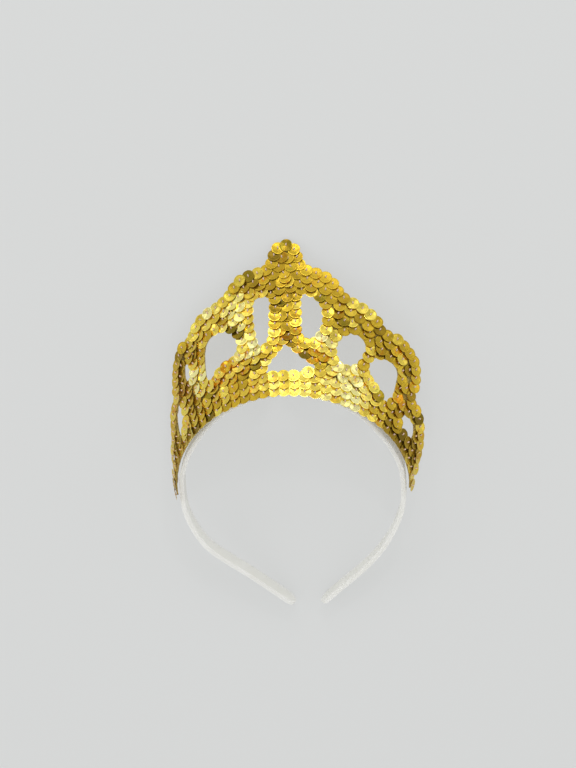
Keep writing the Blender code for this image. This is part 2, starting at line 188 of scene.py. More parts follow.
def wall_point(across, up, offset):
    point, _, _, front = wall_frame(across, up)
    return point + front * offset * MM


def from_shares(shares):
    points = []
    for across_share, up_share in shares:
        across = 0.01 * across_share * HALF_LENGTH
        points.append(Vector((across, edge_height(across) + 0.01 * up_share * WALL_HEIGHT)))
    return points


def even_steps(line, spacing, closed):
    chain = list(line) + ([line[0]] if closed else [])
    lengths = np.cumsum([0.0] + [(b - a).length for a, b in zip(chain, chain[1:])])
    count = max(3, round(lengths[-1] / spacing))
    stops = [lengths[-1] * number / count for number in range(count if closed else count + 1)]
    xs = np.interp(stops, lengths, [point.x for point in chain])
    ys = np.interp(stops, lengths, [point.y for point in chain])
    return [Vector((float(x), float(y))) for x, y in zip(xs, ys)]


def smooth_line(corners, spacing, closed):
    # A smooth line through the corners, with even steps
    count = len(corners)
    if closed:
        chain = [corners[-1]] + corners + corners[:2]
    else:
        chain = [2.0 * corners[0] - corners[1]] + corners + [2.0 * corners[-1] - corners[-2]]
    line = []
    for before, here, ahead, beyond in zip(chain, chain[1:], chain[2:], chain[3:]):
        for step in range(CURVE_STEPS):
            t = step / CURVE_STEPS
            line.append(0.5 * (2.0 * here + (ahead - before) * t
                               + (2.0 * before - 5.0 * here + 4.0 * ahead - beyond) * t ** 2
                               + (3.0 * here - before - 3.0 * ahead + beyond) * t ** 3))
    if not closed:
        line.append(corners[-1])
    return even_steps(line, spacing, closed)


def moved_right(line, closed, distance):
    # The same line, shifted to its right-hand side
    result = []
    for index, point in enumerate(line):
        if closed:
            step = line[(index + 1) % len(line)] - line[index - 1]
        else:
            step = line[min(index + 1, len(line) - 1)] - line[max(index - 1, 0)]
        step.normalize()
        result.append(point + distance * Vector((step.y, -step.x)))
    return result


def pattern_lines(spacing):
    # The outline from the left tip over the peak to the right tip, and the gaps, anticlockwise
    top = smooth_line(from_shares(OUTLINE_LEFT_SHARES[::-1] + [PEAK_SHARE] + OUTLINE_RIGHT_SHARES),
                      spacing, False)
    gaps = []
    for shares in GAP_SHARES.values():
        loop = smooth_line(from_shares(shares), spacing, True)
        area = sum(a.x * b.y - b.x * a.y for a, b in zip(loop, loop[1:] + loop[:1]))
        gaps.append(loop if area > 0.0 else loop[::-1])
    return top, gaps


def lower_edge(spacing, lift, right_end, left_end):
    line = []
    for number in range(BASE_STEPS + 1):
        across = right_end - (right_end + left_end) * number / BASE_STEPS
        line.append(Vector((across, edge_height(across) + lift)))
    return even_steps(line, spacing, False)


def inside(points, loop):
    # Which of the points lie inside the loop
    found = np.zeros(len(points), bool)
    corners = np.array([(corner.x, corner.y) for corner in loop])
    for (x1, y1), (x2, y2) in zip(corners, np.roll(corners, -1, axis=0)):
        if y1 != y2:
            crossing = (x2 - x1) * (points[:, 1] - y1) / (y2 - y1) + x1
            found ^= ((y1 > points[:, 1]) != (y2 > points[:, 1])) & (points[:, 0] < crossing)
    return found


def on_pattern(points, loops):
    points = np.asarray(points, float).reshape(-1, 2)
    found = inside(points, loops[0])
    for loop in loops[1:]:
        found &= ~inside(points, loop)
    return found


outline, gap_loops = pattern_lines(CLOTH_STEP)
cloth_top = moved_right(outline, False, CLOTH_INSET)
cloth_loops = [cloth_top + lower_edge(CLOTH_STEP, HEM_INSET, outline[-1].x - CLOTH_INSET,
                                      -outline[0].x - CLOTH_INSET)]
cloth_loops += [moved_right(loop, True, CLOTH_INSET) for loop in gap_loops]

cloth_points = []
cloth_edges = []
for loop in cloth_loops:
    start = len(cloth_points)
    cloth_points += loop
    cloth_edges += [(start + index, start + (index + 1) % len(loop)) for index in range(len(loop))]
rim = np.array([(point.x, point.y) for point in cloth_points])
low = rim.min(axis=0)
high = rim.max(axis=0)
cells = np.array([(low[0] + column * CLOTH_CELL, low[1] + (row + 0.5 * (column % 2)) * CLOTH_CELL)
                  for column in range(int((high[0] - low[0]) / CLOTH_CELL) + 1)
                  for row in range(int((high[1] - low[1]) / CLOTH_CELL) + 1)])
cells = cells[on_pattern(cells, cloth_loops)]
for cell in cells:
    if np.hypot(*(rim - cell).T).min() > RIM_ROOM:
        cloth_points.append(Vector((float(cell[0]), float(cell[1]))))
flat_verts, _, flat_faces, _, _, _ = delaunay_2d_cdt(cloth_points, cloth_edges, [], 0, 1e-4)
middles = [sum((flat_verts[corner] for corner in face), Vector((0.0, 0.0))) / 3.0
           for face in flat_faces]
kept = on_pattern([(middle.x, middle.y) for middle in middles], cloth_loops)
cloth_faces = [face for face, keep in zip(flat_faces, kept) if keep]


def closer(across):
    # How much nearer cloth and sequins lie to each other towards the two tips
    return TIP_CLOSER * min(1.0, max(0.0, (abs(across) - TIP_START) / (TIP_FULL - TIP_START)))


cloth_mesh = bpy.data.meshes.new("cloth")
cloth_mesh.from_pydata(
    [wall_point(vert.x, vert.y, CLOTH_MIDDLE + closer(vert.x)
                + PUCKER * math.sin(PUCKER_WAVES[0] * vert.x) * math.sin(PUCKER_WAVES[1] * vert.y))
     for vert in flat_verts], [], cloth_faces)
cloth_mesh.validate()
pattern_map = cloth_mesh.uv_layers.new(name="pattern")
for loop in cloth_mesh.loops:
    vert = flat_verts[loop.vertex_index]
    pattern_map.data[loop.index].uv = (vert.x, vert.y)
cloth_mesh.shade_smooth()
cloth = bpy.data.objects.new("cloth", cloth_mesh)
bpy.context.scene.collection.objects.link(cloth)
wall = cloth.modifiers.new("thickness", "SOLIDIFY")
wall.thickness = CLOTH_THICK * MM
wall.offset = 0.0


def new_finish(name):
    # An empty material with its shader, and short calls to add and join nodes
    material = bpy.data.materials.new(name)
    material.use_nodes = True
    tree = material.node_tree
    return material, tree, tree.nodes["Principled BSDF"]


def add_node(tree, kind, values=(), **settings):
    node = tree.nodes.new("ShaderNode" + kind)
    for name, value in settings.items():
        setattr(node, name, value)
    for socket, value in dict(values).items():
        node.inputs[socket].default_value = value
    return node


def ramp_node(tree, source, stops):
    node = tree.nodes.new("ShaderNodeValToRGB")
    while len(node.color_ramp.elements) < len(stops):
        node.color_ramp.elements.new(0.5)
    for element, (position, colour) in zip(node.color_ramp.elements, stops):
        element.position = position
        element.color = (*colour, 1.0)
    tree.links.new(source, node.inputs["Fac"])
    return node


# Plain weave: threads go over and under each other, one cell to a unit of the mapping
weave = bpy.data.node_groups.new("plain_weave", "ShaderNodeTree")
weave.interface.new_socket("Cells", in_out="INPUT", socket_type="NodeSocketVector")
weave.interface.new_socket("Height", in_out="OUTPUT", socket_type="NodeSocketFloat")
cells_in = weave.nodes.new("NodeGroupInput")
height_out = weave.nodes.new("NodeGroupOutput")
parts = add_node(weave, "SeparateXYZ")
weave.links.new(cells_in.outputs["Cells"], parts.inputs[0])
rounds = []
for axis in ("X", "Y"):
    wave = add_node(weave, "Math", {1: math.pi}, operation="MULTIPLY")
    weave.links.new(parts.outputs[axis], wave.inputs[0])
    sine = add_node(weave, "Math", operation="SINE")
    weave.links.new(wave.outputs[0], sine.inputs[0])
    size = add_node(weave, "Math", operation="ABSOLUTE")
    weave.links.new(sine.outputs[0], size.inputs[0])
    rounds.append(size)
checks = add_node(weave, "TexChecker", {"Scale": 1.0})
weave.links.new(cells_in.outputs["Cells"], checks.inputs["Vector"])
over = add_node(weave, "Mix", data_type="FLOAT")
weave.links.new(checks.outputs["Fac"], over.inputs["Factor"])
weave.links.new(rounds[0].outputs[0], over.inputs[2])
weave.links.new(rounds[1].outputs[0], over.inputs[3])
weave.links.new(over.outputs[0], height_out.inputs["Height"])

THREADS_PER_MM = 1.6
gold_cloth, tree, shader = new_finish("gold_cloth")
flat_place = add_node(tree, "UVMap", uv_map="pattern")
thread_cells = add_node(tree, "VectorMath", {3: THREADS_PER_MM}, operation="SCALE")
tree.links.new(flat_place.outputs["UV"], thread_cells.inputs[0])
weave_node = tree.nodes.new("ShaderNodeGroup")
weave_node.node_tree = weave
tree.links.new(thread_cells.outputs[0], weave_node.inputs["Cells"])
# The weave's low places are darker: painted shade between the threads
cloth_colour_and_weave_shade = ramp_node(tree, weave_node.outputs["Height"],
                         [(0.0, (0.30, 0.19, 0.03)), (0.7, (0.66, 0.47, 0.09)),
                          (1.0, (0.78, 0.58, 0.14))])
blotches = add_node(tree, "TexNoise", {"Scale": 0.12, "Detail": 3.0})
tree.links.new(flat_place.outputs["UV"], blotches.inputs["Vector"])
worn = add_node(tree, "Mix", {"Factor": 0.25}, data_type="RGBA", blend_type="MULTIPLY")
tree.links.new(cloth_colour_and_weave_shade.outputs["Color"], worn.inputs[6])
tree.links.new(blotches.outputs["Color"], worn.inputs[7])
tree.links.new(worn.outputs[2], shader.inputs["Base Color"])
cloth_bump = add_node(tree, "Bump", {"Strength": 0.6, "Distance": 0.0002})
tree.links.new(weave_node.outputs["Height"], cloth_bump.inputs["Height"])
tree.links.new(cloth_bump.outputs["Normal"], shader.inputs["Normal"])
shader.inputs["Roughness"].default_value = 0.8
shader.inputs["Sheen Weight"].default_value = 0.25
cloth_mesh.materials.append(gold_cloth)

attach(cloth, "root")
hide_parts("backing")

# Sequins
# Cupped discs of metallised gold film, each with a hole in its middle. They overlap like
# scales, an upper one over a lower one, in rows along the lower edge, round every gap and
# along the outline. Each is sewn on by itself, so they tilt a little differently.
SEQUIN_DIAMETER = 6.5
SEQUIN_RADIUS = 0.5 * SEQUIN_DIAMETER
SEQUIN_PITCH = 5.1
ROW_PITCH = 3.95
FIRST_ROW = 3.2
EDGE_ROW = 2.6
EDGE_PITCH = 4.4
NARROWEST = 1.3
HOLE_RADIUS = 0.45
FILM_THICK = 0.1
CUP_DEPTH = 0.32
FACETS = 6
FACET_DEPTH = 0.15
CLOSEST = 3.5
CLOSEST_FILL = 2.4
ROW_MARGIN = 1.9
TIP_MARGIN = 0.9
FILL_MARGIN = 1.6
BARE_MARGIN = 0.5
HIDING_REACH = 3.05
SPOT_STEP = 0.7
FEWEST_SPOTS = 4
SEQUIN_SIDES = 24
SEQUIN_LIFT = 0.1
STEEP_LEFT = (44.0, 60.0)
STEEP_RIGHT = (62.0, 76.0)
STEEPEST = 0.08
SIDE_FACING = 0.22
FINE_STEP = 0.5
LOWER_ROWS = 3
ROW_STEPS = 600
ROW_INSET = 1.2
REACH_TRIES = 7
ROOM_SHARE = 0.95
START_STEP = 0.1
LONGEST_THREAD = 1.4 * SEQUIN_PITCH
draw = random.Random(7)

fine_outline, fine_gaps = pattern_lines(FINE_STEP)
fine_edge = lower_edge(FINE_STEP, 0.0, fine_outline[-1].x, -fine_outline[0].x)
fine_loops = [fine_outline + fine_edge] + fine_gaps
border = np.array([(point.x, point.y) for loop in fine_loops for point in loop])
outline_across = np.array([point.x for point in fine_outline])
outline_up = np.array([point.y for point in fine_outline])


def distances(places, others):
    # From each place to the nearest of the others
    if len(others) == 0:
        return np.full(len(places), 1e6)
    others = np.asarray(others)
    return np.array([np.hypot(*(others - place).T).min() for place in places])


def steps_along(line, closed, pitch, share):
    # Places one pitch apart along a line, the first a share of a pitch from its start
    chain = np.array([(point.x, point.y) for point in line + (line[:1] if closed else [])])
    lengths = np.concatenate([[0.0], np.cumsum(np.hypot(*np.diff(chain, axis=0).T))])
    number = max(1, round(lengths[-1] / pitch))
    stops = (np.arange(number) + share) * lengths[-1] / number
    across = np.interp(stops, lengths, chain[:, 0])
    up = np.interp(stops, lengths, chain[:, 1])
    return np.stack([across, up], axis=1)


def edge_line(line, closed):
    # The line of an edge row. Where the cloth is too narrow for it, it keeps to the middle.
    result = moved_right(line, closed, NARROWEST)
    for reach in np.linspace(NARROWEST, EDGE_ROW, REACH_TRIES).tolist():
        shifted = moved_right(line, closed, reach)
        room = distances([(point.x, point.y) for point in shifted], border)
        result = [new if space > ROOM_SHARE * reach else old
                  for old, new, space in zip(result, shifted, room)]
    return result


# The lines that the rows follow: along the lower edge, then along the outline and the gaps
lines = []
row_start = fine_outline[0].x + ROW_INSET
row_length = fine_outline[-1].x - fine_outline[0].x - 2.0 * ROW_INSET
for number in range(LOWER_ROWS):
    line = []
    for step in range(ROW_STEPS + 1):
        across = row_start + row_length * step / ROW_STEPS
        edge = edge_height(across)
        room = float(np.interp(across, outline_across, outline_up)) - edge
        line.append(Vector((across, edge + min(FIRST_ROW + number * ROW_PITCH, 0.5 * room))))
    lines.append((line, False, SEQUIN_PITCH, ROW_MARGIN if number else TIP_MARGIN))
edges = [(fine_outline, False)] + [(loop, True) for loop in fine_gaps]
lines += [(edge_line(line, closed), closed, EDGE_PITCH, TIP_MARGIN) for line, closed in edges]
lines += [(moved_right(line, closed, EDGE_ROW + ROW_PITCH), closed, SEQUIN_PITCH, ROW_MARGIN)
          for line, closed in edges]

# The first two sequins cover the ends of the tips. Each row starts where most of its sequins
# find room beside those before it.
centres = np.zeros((0, 2))
for end, inward in ((fine_outline[0].x, TIP_MARGIN), (fine_outline[-1].x, -TIP_MARGIN)):
    across = end + inward
    top = float(np.interp(across, outline_across, outline_up))
    centres = np.vstack([centres, (across, 0.5 * (edge_height(across) + top))])
threads = []
for line, closed, pitch, margin in lines:
    best = np.zeros((0, 2))
    for share in np.arange(0.0, 1.0, START_STEP):
        places = steps_along(line, closed, pitch, share)
        places = places[on_pattern(places, fine_loops)]
        places = places[distances(places, border) > margin]
        places = places[distances(places, centres) > CLOSEST]
        if len(places) > len(best):
            best = places
    last = None
    for place in best:
        if distances([place], centres)[0] > CLOSEST:
            if last is not None and np.hypot(*(last - place)) < LONGEST_THREAD:
                threads.append((last, place))
            centres = np.vstack([centres, place])
            last = place

# Sequins between the rows: each goes where it hides most of the cloth that is still bare
spots = np.array([(x, y) for x in np.arange(low[0], high[0], SPOT_STEP)
                  for y in np.arange(low[1], high[1], SPOT_STEP)])
spots = spots[on_pattern(spots, fine_loops)]
room_round = distances(spots, border)
bare_spots = spots[room_round > BARE_MARGIN]
bare_spots = bare_spots[distances(bare_spots, centres) > HIDING_REACH]
choices = spots[room_round > FILL_MARGIN]
choices = choices[distances(choices, centres) > CLOSEST_FILL]
while len(choices) and len(bare_spots):
    apart = np.hypot(choices[:, 0, None] - bare_spots[:, 0], choices[:, 1, None] - bare_spots[:, 1])
    hidden = (apart < HIDING_REACH).sum(axis=1)
    if hidden.max() < FEWEST_SPOTS:
        break
    centre = choices[int(hidden.argmax())]
    centres = np.vstack([centres, centre])
    bare_spots = bare_spots[np.hypot(*(bare_spots - centre).T) > HIDING_REACH]
    choices = choices[np.hypot(*(choices - centre).T) > CLOSEST_FILL]
count = len(centres)

# Overlapping pairs: the one that is higher above the lower edge lies on top
RANK_SLANT = 0.3
OVERLAP = 0.97 * SEQUIN_DIAMETER
CORNER_SHARE = 0.95
RIM_REACH = 0.97 * SEQUIN_RADIUS
rank = np.array([up - edge_height(across) - RANK_SLANT * across for across, up in centres])
upper = []
under = []
for first in range(count):
    for second in range(first + 1, count):
        if np.hypot(*(centres[first] - centres[second])) < OVERLAP:
            pair = (first, second) if rank[first] > rank[second] else (second, first)
            upper.append(pair[0])
            under.append(pair[1])
upper = np.array(upper)
under = np.array(under)
span = centres[under] - centres[upper]
reach = np.hypot(*span.T)[:, None]
toward = span / reach
aside = np.stack([-toward[:, 1], toward[:, 0]], axis=1)
half_chord = np.sqrt(np.maximum(0.0, SEQUIN_RADIUS ** 2 - 0.25 * reach ** 2))
touches = [centres[upper] + 0.5 * span + CORNER_SHARE * half_chord * aside,
           centres[upper] + 0.5 * span - CORNER_SHARE * half_chord * aside,
           centres[upper] + RIM_REACH * toward,
           centres[under] - RIM_REACH * toward]


def cup_height(arm):
    return CUP_DEPTH * (arm ** 2).sum(axis=1) / SEQUIN_RADIUS ** 2


# Broad places where the film's colour carries painted light: lighter with painted highlights or
# darker with painted dark reflections, towards orange with painted glints, and where the sequins
# lie evenly and the film is hazier: across, height above the lower edge, reach and strength
PAINTED_REFLECTION_PLACES = [(4, 7, 12, 0.2), (32, 10, 11, 0.6), (-23, 51, 8, 0.5), (-18, 29, 7, 0.5),
                (-43, 27, 7, 0.6), (-37, 53, 6, 0.35), (31, 51, 4, 0.35), (18, 33, 7, 0.45),
                (3, 42, 5, 0.15), (-5, 28, 4, 0.2), (-5, 74, 7, -0.25), (2, 54, 7, -0.25),
                (26, 57, 6, -0.15), (45, 46, 8, -0.2), (62, 6, 11, -0.35), (2, 33, 5, -0.2),
                (-11, 6, 5, 0.15), (-57, 8, 8, 0.3), (76, 4, 6, 0.35), (54, 32, 5, 0.1)]
# The orange places paint orange glints into the film's colour
PAINTED_ORANGE_GLINT_PLACES = [(2, 33, 6, 0.3), (15, 26, 7, 0.25), (59, 20, 8, 0.35), (-27, 20, 8, 0.3),
               (-15, 60, 3, 0.3), (-11, 6, 6, 0.2), (-58, 28, 12, 0.1)]
CALM_PLACES = [(-3, 68, 9, 0.7), (17, 62, 8, 0.8), (-22, 8, 9, 0.5), (4, 8, 10, 0.5),
               (-66, 12, 14, 0.6), (76, 8, 10, 0.6)]
OWN_TILT = 0.09
LEAN_BACK = -0.06


def shift_at(places, number):
    across, up = centres[number]
    height = up - edge_height(across)
    return sum(strength * math.exp(-((across - x) ** 2 + (height - y) ** 2) / reach ** 2)
               for x, y, reach, strength in places)


# Each sequin has a height and a tilt. They are pushed apart in many small rounds, which clears
# most overlapping pairs, but some still cut each other. Those at the sides turn a little
# further away from the camera than the wall does, so that they show nearly from their edges.
looseness = [1.0 - shift_at(CALM_PLACES, number) for number in range(count)]
own_tilt = np.array([(draw.gauss(0.0, OWN_TILT * loose), draw.gauss(LEAN_BACK, OWN_TILT * loose))
                     for loose in looseness])
to_viewer = facing @ Vector((0.0, 0.0, 1.0))
for number, (across, up) in enumerate(centres):
    start, full = STEEP_LEFT if across < 0.0 else STEEP_RIGHT
    share = min(1.0, max(0.0, (abs(across) - start) / (full - start)))
    _, along, upward, front = wall_frame(across, up)
    slant = Vector((along.dot(to_viewer), upward.dot(to_viewer))).normalized()
    steepness = min(STEEPEST, max(0.0, front.dot(to_viewer) - SIDE_FACING))
    own_tilt[number] += share * steepness * np.array(slant)
lift = np.zeros(count)
tilt = own_tilt.copy()
TILT_SHARE = 0.35
CLEARANCE = 0.22
ROUNDS = 300
LOOSE_ROUNDS = 0.7 * ROUNDS
PUSH_SHARE = 0.25
LIFT_KEPT = 0.97
TILT_RETURN = 0.03
for turn_number in range(ROUNDS):
    for point in touches:
        arm_upper = point - centres[upper]
        arm_under = point - centres[under]
        space = (lift[upper] + (tilt[upper] * arm_upper).sum(axis=1) + cup_height(arm_upper)
                 - lift[under] - (tilt[under] * arm_under).sum(axis=1) - cup_height(arm_under)
                 - CLEARANCE)
        push = PUSH_SHARE * np.maximum(0.0, -space) / (
            2.0 + TILT_SHARE * ((arm_upper ** 2).sum(axis=1) + (arm_under ** 2).sum(axis=1)))
        np.add.at(lift, upper, push)
        np.add.at(lift, under, -push)
        np.add.at(tilt, upper, TILT_SHARE * push[:, None] * arm_upper)
        np.add.at(tilt, under, -TILT_SHARE * push[:, None] * arm_under)
    if turn_number < LOOSE_ROUNDS:
        lift *= LIFT_KEPT
        tilt += TILT_RETURN * (own_tilt - tilt)

# One sequin as a turned ring of film: front from the hole to the rim, then the back
profile = [(HOLE_RADIUS, 0.0), (0.42 * SEQUIN_RADIUS, 0.0), (0.75 * SEQUIN_RADIUS, 0.0),
           (0.96 * SEQUIN_RADIUS, 0.0), (SEQUIN_RADIUS, -0.5 * FILM_THICK),
           (0.96 * SEQUIN_RADIUS, -FILM_THICK), (0.6 * SEQUIN_RADIUS, -FILM_THICK),
           (HOLE_RADIUS, -FILM_THICK)]
sequin_verts = []
sequin_faces = []
for side in range(SEQUIN_SIDES):
    angle = 2.0 * math.pi * side / SEQUIN_SIDES
    for radius, level in profile:
        cup = CUP_DEPTH * (radius / SEQUIN_RADIUS) ** 2
        cup *= 1.0 + FACET_DEPTH * math.cos(FACETS * angle)
        sequin_verts.append((radius * math.cos(angle), radius * math.sin(angle), cup + level))
    for step in range(len(profile)):
        here = side * len(profile)
        ahead = (side + 1) % SEQUIN_SIDES * len(profile)
        following = (step + 1) % len(profile)
        sequin_faces.append((here + step, here + following, ahead + following, ahead + step))
sequin_verts = np.array(sequin_verts)
sequin_faces = np.array(sequin_faces)


def sequin_place(number):
    # Rotation and place of one sequin on the wall
    point, along, upward, front = wall_frame(*centres[number])
    facing_out = (front - along * tilt[number][0] - upward * tilt[number][1]).normalized()
    along = (along - facing_out * along.dot(facing_out)).normalized()
    upward = facing_out.cross(along)
    place = point + front * (SEQUIN_LIFT - closer(centres[number][0]) + float(lift[number])) * MM
    return place, Matrix((along, upward, facing_out)).transposed()


# A few sequins get a painted dark greenish reflection in their colour, but not where painted
# highlights lie
TONE_SPREAD = 0.13
WARMTH_SPREAD = 0.09
PAINTED_DARK_SHARE = 0.08
DARKEST_PLACE = 0.15
PAINTED_DARK_REFLECTION = 0.35
PAINTED_GREEN_REFLECTION = 0.35
SHARP_ANGLE = math.radians(60.0)
tones_and_painted_light = []
warmths_and_painted_reflections = []
for number in range(count):
    # painted highlights and painted dark reflections from the listed places
    painted_light = shift_at(PAINTED_REFLECTION_PLACES, number)
    # a few sequins get a painted dark reflection
    painted_dark = draw.random() < PAINTED_DARK_SHARE * looseness[number] ** 2 and painted_light < DARKEST_PLACE
    tone_and_painted_light = draw.gauss(0.5, TONE_SPREAD * looseness[number]) + painted_light - PAINTED_DARK_REFLECTION * painted_dark
    # warmth carries painted orange glints, and the dark sequins get a painted greenish reflection
    warmth_and_painted_reflection = draw.gauss(0.5, WARMTH_SPREAD) - shift_at(PAINTED_ORANGE_GLINT_PLACES, number) + PAINTED_GREEN_REFLECTION * painted_dark
    tones_and_painted_light.append(min(1.0, max(0.0, tone_and_painted_light)))
    warmths_and_painted_reflections.append(min(1.0, max(0.0, warmth_and_painted_reflection)))
sequin_sides = {}
for name, slot, side in (("sequins_on_left", "gold_sequins_left", -1.0),
                         ("sequins_on_right", "gold_sequins_right", 1.0)):
    members = [number for number in range(count) if (centres[number][0] >= 0.0) == (side > 0.0)]
    verts = []
    faces = []
    shades = []
    for number in members:
        place, turned = sequin_place(number)
        spin = Matrix.Rotation(draw.uniform(0.0, math.pi), 3, "Z")
        turned = np.array(turned @ spin)
        faces.append(sequin_faces + len(verts) * len(sequin_verts))
        verts.append(sequin_verts * MM @ turned.T + np.array(place))
        look = (tones_and_painted_light[number], warmths_and_painted_reflections[number], 1.0 - looseness[number], 1.0)
        shades += [look] * len(sequin_verts)
    mesh = bpy.data.meshes.new(name)
    mesh.from_pydata(np.concatenate(verts).tolist(), [], np.concatenate(faces).tolist())
    shade = mesh.attributes.new("shade", "FLOAT_COLOR", "POINT")
    shade.data.foreach_set("color", np.array(shades).ravel())
    mesh.shade_smooth()
    mesh.set_sharp_from_angle(angle=SHARP_ANGLE)
    piece = bpy.data.objects.new(name, mesh)
    bpy.context.scene.collection.objects.link(piece)
    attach(piece, "root")
    sequin_sides[name] = piece
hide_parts("sequins_left")
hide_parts("sequins_right")

# The film's tone, its warmth and how hazy it is come from each sequin, and tone and warmth carry
# painted highlights and painted reflections too. A ripple noise bumps the film and paints orange
# glints on parts of a warm sequin, and scuffs make its gloss uneven.
gold_film, tree, shader = new_finish("gold_film")
shade = add_node(tree, "Attribute", attribute_name="shade")
channels = add_node(tree, "SeparateColor")
tree.links.new(shade.outputs["Color"], channels.inputs[0])
# Film colour from its own tone, with painted highlights up to lemon and painted dark reflections down
# to dark olive
film_tone_and_painted_light = ramp_node(tree, channels.outputs[0],
                        [(0.0, (0.12, 0.08, 0.008)), (0.25, (0.37, 0.24, 0.016)),
                         (0.5, (0.65, 0.45, 0.034)), (0.75, (0.92, 0.76, 0.13)),
                         (1.0, (1.0, 0.95, 0.42))])
solid_place = add_node(tree, "TexCoord")
ripple_and_glint_noise = add_node(tree, "TexNoise", {"Scale": 420.0, "Detail": 2.0})
tree.links.new(solid_place.outputs["Object"], ripple_and_glint_noise.inputs["Vector"])
# Painted orange glints on parts of a sequin, from the ripple noise
painted_orange_glints = add_node(tree, "MapRange",
                  {"From Min": 0.35, "From Max": 0.65, "To Min": -0.26, "To Max": 0.26})
tree.links.new(ripple_and_glint_noise.outputs["Fac"], painted_orange_glints.inputs["Value"])
warmth_and_painted_glints_here = add_node(tree, "Math", operation="ADD")
tree.links.new(channels.outputs[1], warmth_and_painted_glints_here.inputs[0])
tree.links.new(painted_orange_glints.outputs[0], warmth_and_painted_glints_here.inputs[1])
# Tint from warmth: the orange end is a painted glint, the greenish end a painted reflection
tint_and_painted_reflection = ramp_node(tree, warmth_and_painted_glints_here.outputs[0],
                 [(0.02, (1.0, 0.6, 0.32)), (0.25, (1.0, 0.97, 0.95)), (0.75, (1.0, 1.0, 1.0)),
                  (1.0, (0.80, 0.92, 0.9))])
tinted = add_node(tree, "Mix", {"Factor": 1.0}, data_type="RGBA", blend_type="MULTIPLY")
tree.links.new(film_tone_and_painted_light.outputs["Color"], tinted.inputs[6])
tree.links.new(tint_and_painted_reflection.outputs["Color"], tinted.inputs[7])
tree.links.new(tinted.outputs[2], shader.inputs["Base Color"])
scuffs = add_node(tree, "TexNoise", {"Scale": 900.0, "Detail": 4.0})
tree.links.new(solid_place.outputs["Object"], scuffs.inputs["Vector"])
polish = add_node(tree, "MapRange",
                  {"From Min": 0.45, "From Max": 0.9, "To Min": 0.27, "To Max": 0.13})
tree.links.new(channels.outputs[0], polish.inputs["Value"])
worn_spots = add_node(tree, "MapRange", {"To Min": -0.07, "To Max": 0.07})
tree.links.new(scuffs.outputs["Fac"], worn_spots.inputs["Value"])
haze = add_node(tree, "Math", {1: 0.3}, operation="MULTIPLY_ADD")
tree.links.new(channels.outputs[2], haze.inputs[0])
tree.links.new(polish.outputs[0], haze.inputs[2])
dullness = add_node(tree, "Math", operation="ADD")
tree.links.new(haze.outputs[0], dullness.inputs[0])
tree.links.new(worn_spots.outputs[0], dullness.inputs[1])
tree.links.new(dullness.outputs[0], shader.inputs["Roughness"])
film_bump = add_node(tree, "Bump", {"Strength": 0.2, "Distance": 0.0003})
tree.links.new(ripple_and_glint_noise.outputs["Fac"], film_bump.inputs["Height"])
tree.links.new(film_bump.outputs["Normal"], shader.inputs["Normal"])
shader.inputs["Metallic"].default_value = 0.9
for piece in sequin_sides.values():
    piece.data.materials.append(gold_film)

# Stitches
# One loop of pale thread holds each sequin: it comes up through the hole and goes down under
# the sequin above. Behind the cloth the thread runs on from one stitch to the next.
THREAD_RADIUS = 0.35
THREAD_SIDES = 6
STITCH_LENGTH = 0.95
STITCH_RISE = 0.32
STITCH_ROOT = 0.35
STITCH_END = 0.1
STITCH_TURN = 0.35
STITCH_STEPS = 6
BACK_STEPS = 5
BACK_DIP = 2.2 * THREAD_RADIUS
CLOTH_BACK = CLOTH_MIDDLE - 0.5 * CLOTH_THICK


def add_thread(verts, faces, line, out):
    # A round thread along a line, with closed ends
    start = len(verts)
    for index, point in enumerate(line):
        step = (line[min(index + 1, len(line) - 1)] - line[max(index - 1, 0)]).normalized()
        aside = step.cross(out).normalized()
        over = aside.cross(step)
        for side in range(THREAD_SIDES):
            angle = 2.0 * math.pi * side / THREAD_SIDES
            arm = aside * math.cos(angle) + over * math.sin(angle)
            verts.append(point + arm * THREAD_RADIUS * MM)
    for index in range(len(line) - 1):
        here = start + index * THREAD_SIDES
        for side in range(THREAD_SIDES):
            beside = (side + 1) % THREAD_SIDES
            faces.append((here + side, here + beside, here + THREAD_SIDES + beside,
                          here + THREAD_SIDES + side))
    faces.append(tuple(start + side for side in reversed(range(THREAD_SIDES))))
    end = start + (len(line) - 1) * THREAD_SIDES
    faces.append(tuple(end + side for side in range(THREAD_SIDES)))


def thread_piece(name, verts, faces, material):
    mesh = bpy.data.meshes.new(name)
    mesh.from_pydata(verts, [], faces)
    mesh.shade_smooth()
    mesh.materials.append(material)
    piece = bpy.data.objects.new(name, mesh)
    bpy.context.scene.collection.objects.link(piece)
    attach(piece, "root")
    return piece


pale_thread, tree, shader = new_finish("pale_thread")
thread_place = add_node(tree, "TexCoord")
fibres = add_node(tree, "TexNoise", {"Scale": 2600.0, "Detail": 2.0})
tree.links.new(thread_place.outputs["Object"], fibres.inputs["Vector"])
thread_colour = ramp_node(tree, fibres.outputs["Fac"],
                          [(0.3, (0.54, 0.36, 0.26)), (0.7, (0.80, 0.60, 0.48))])
tree.links.new(thread_colour.outputs["Color"], shader.inputs["Base Color"])
thread_bump = add_node(tree, "Bump", {"Strength": 0.4, "Distance": 0.0001})
tree.links.new(fibres.outputs["Fac"], thread_bump.inputs["Height"])
tree.links.new(thread_bump.outputs["Normal"], shader.inputs["Normal"])
shader.inputs["Roughness"].default_value = 0.6

